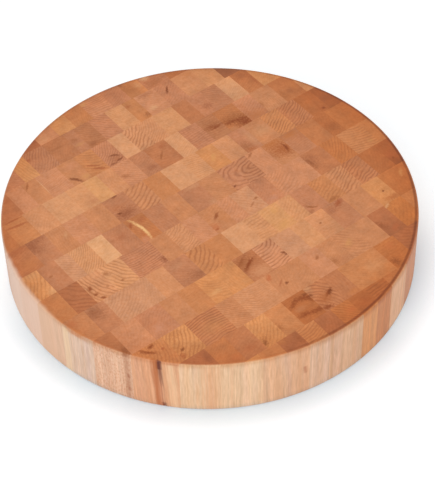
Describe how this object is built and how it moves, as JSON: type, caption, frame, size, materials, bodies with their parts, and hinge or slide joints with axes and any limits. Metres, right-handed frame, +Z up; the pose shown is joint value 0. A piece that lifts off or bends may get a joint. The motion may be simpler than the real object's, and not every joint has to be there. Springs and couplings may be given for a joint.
{
  "type": "chopping block",
  "caption": "Thick round end-grain chopping block, glued up from rows of upright maple blocks, with flat working faces on both sides and eased rims.",
  "frame": {"origin": "centre of the round face that the board stands on", "axes": "+Z up through the board's thickness, +X along the rows of blocks, +Y across the rows"},
  "size_m": [0.4572, 0.4572, 0.073],
  "materials": {
    "oiled_maple": "satin oiled end-grain maple, long grain up the side"
  },
  "bodies": {
    "root": {"row_01_left_rim_blocks": "oiled_maple", "row_01_right_rim_blocks": "oiled_maple", "row_02_left_rim_blocks": "oiled_maple", "row_02_middle_blocks": "oiled_maple", "row_02_right_rim_blocks": "oiled_maple", "row_03_left_rim_blocks": "oiled_maple", "row_03_middle_blocks": "oiled_maple", "row_03_right_rim_blocks": "oiled_maple", "row_04_left_rim_blocks": "oiled_maple", "row_04_middle_blocks": "oiled_maple", "row_04_right_rim_blocks": "oiled_maple", "row_05_left_rim_blocks": "oiled_maple", "row_05_middle_blocks": "oiled_maple", "row_05_right_rim_blocks": "oiled_maple", "row_06_left_rim_blocks": "oiled_maple", "row_06_middle_blocks": "oiled_maple", "row_06_right_rim_blocks": "oiled_maple", "row_07_left_rim_blocks": "oiled_maple", "row_07_middle_blocks": "oiled_maple", "row_07_right_rim_blocks": "oiled_maple", "row_08_left_rim_blocks": "oiled_maple", "row_08_middle_blocks": "oiled_maple", "row_08_right_rim_blocks": "oiled_maple", "row_09_left_rim_blocks": "oiled_maple", "row_09_middle_blocks": "oiled_maple", "row_09_right_rim_blocks": "oiled_maple", "row_10_left_rim_blocks": "oiled_maple", "row_10_middle_blocks": "oiled_maple", "row_10_right_rim_blocks": "oiled_maple", "row_11_left_rim_blocks": "oiled_maple", "row_11_middle_blocks": "oiled_maple", "row_11_right_rim_blocks": "oiled_maple", "row_12_left_rim_blocks": "oiled_maple", "row_12_right_rim_blocks": "oiled_maple"}
  },
  "joints": []
}
